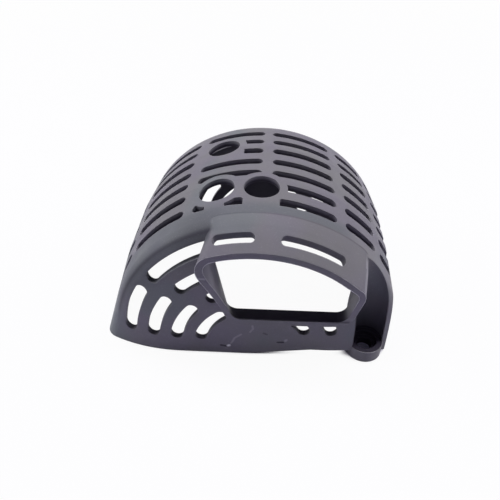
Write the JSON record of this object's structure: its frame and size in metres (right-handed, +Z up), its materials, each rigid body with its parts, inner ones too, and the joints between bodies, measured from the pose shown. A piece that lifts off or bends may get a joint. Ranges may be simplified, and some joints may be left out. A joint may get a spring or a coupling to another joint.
{
  "type": "engine muffler cover",
  "caption": "Half-drum moulded guard over a small engine's muffler, with a slotted vault, slotted end walls, a hooded exhaust outlet and a screw boss.",
  "frame": {"origin": "on the flat of the base rim, in the drum's middle plane, midway along its grille", "axes": "+Z up from the base rim to the crest, +Y along the drum away from the exhaust hood, +X to the side of the screw boss"},
  "size_m": [0.1053, 0.084, 0.0557],
  "materials": {
    "body": "satin moulded charcoal plastic"
  },
  "bodies": {
    "root": {"muffler_cover": "body"}
  },
  "joints": []
}
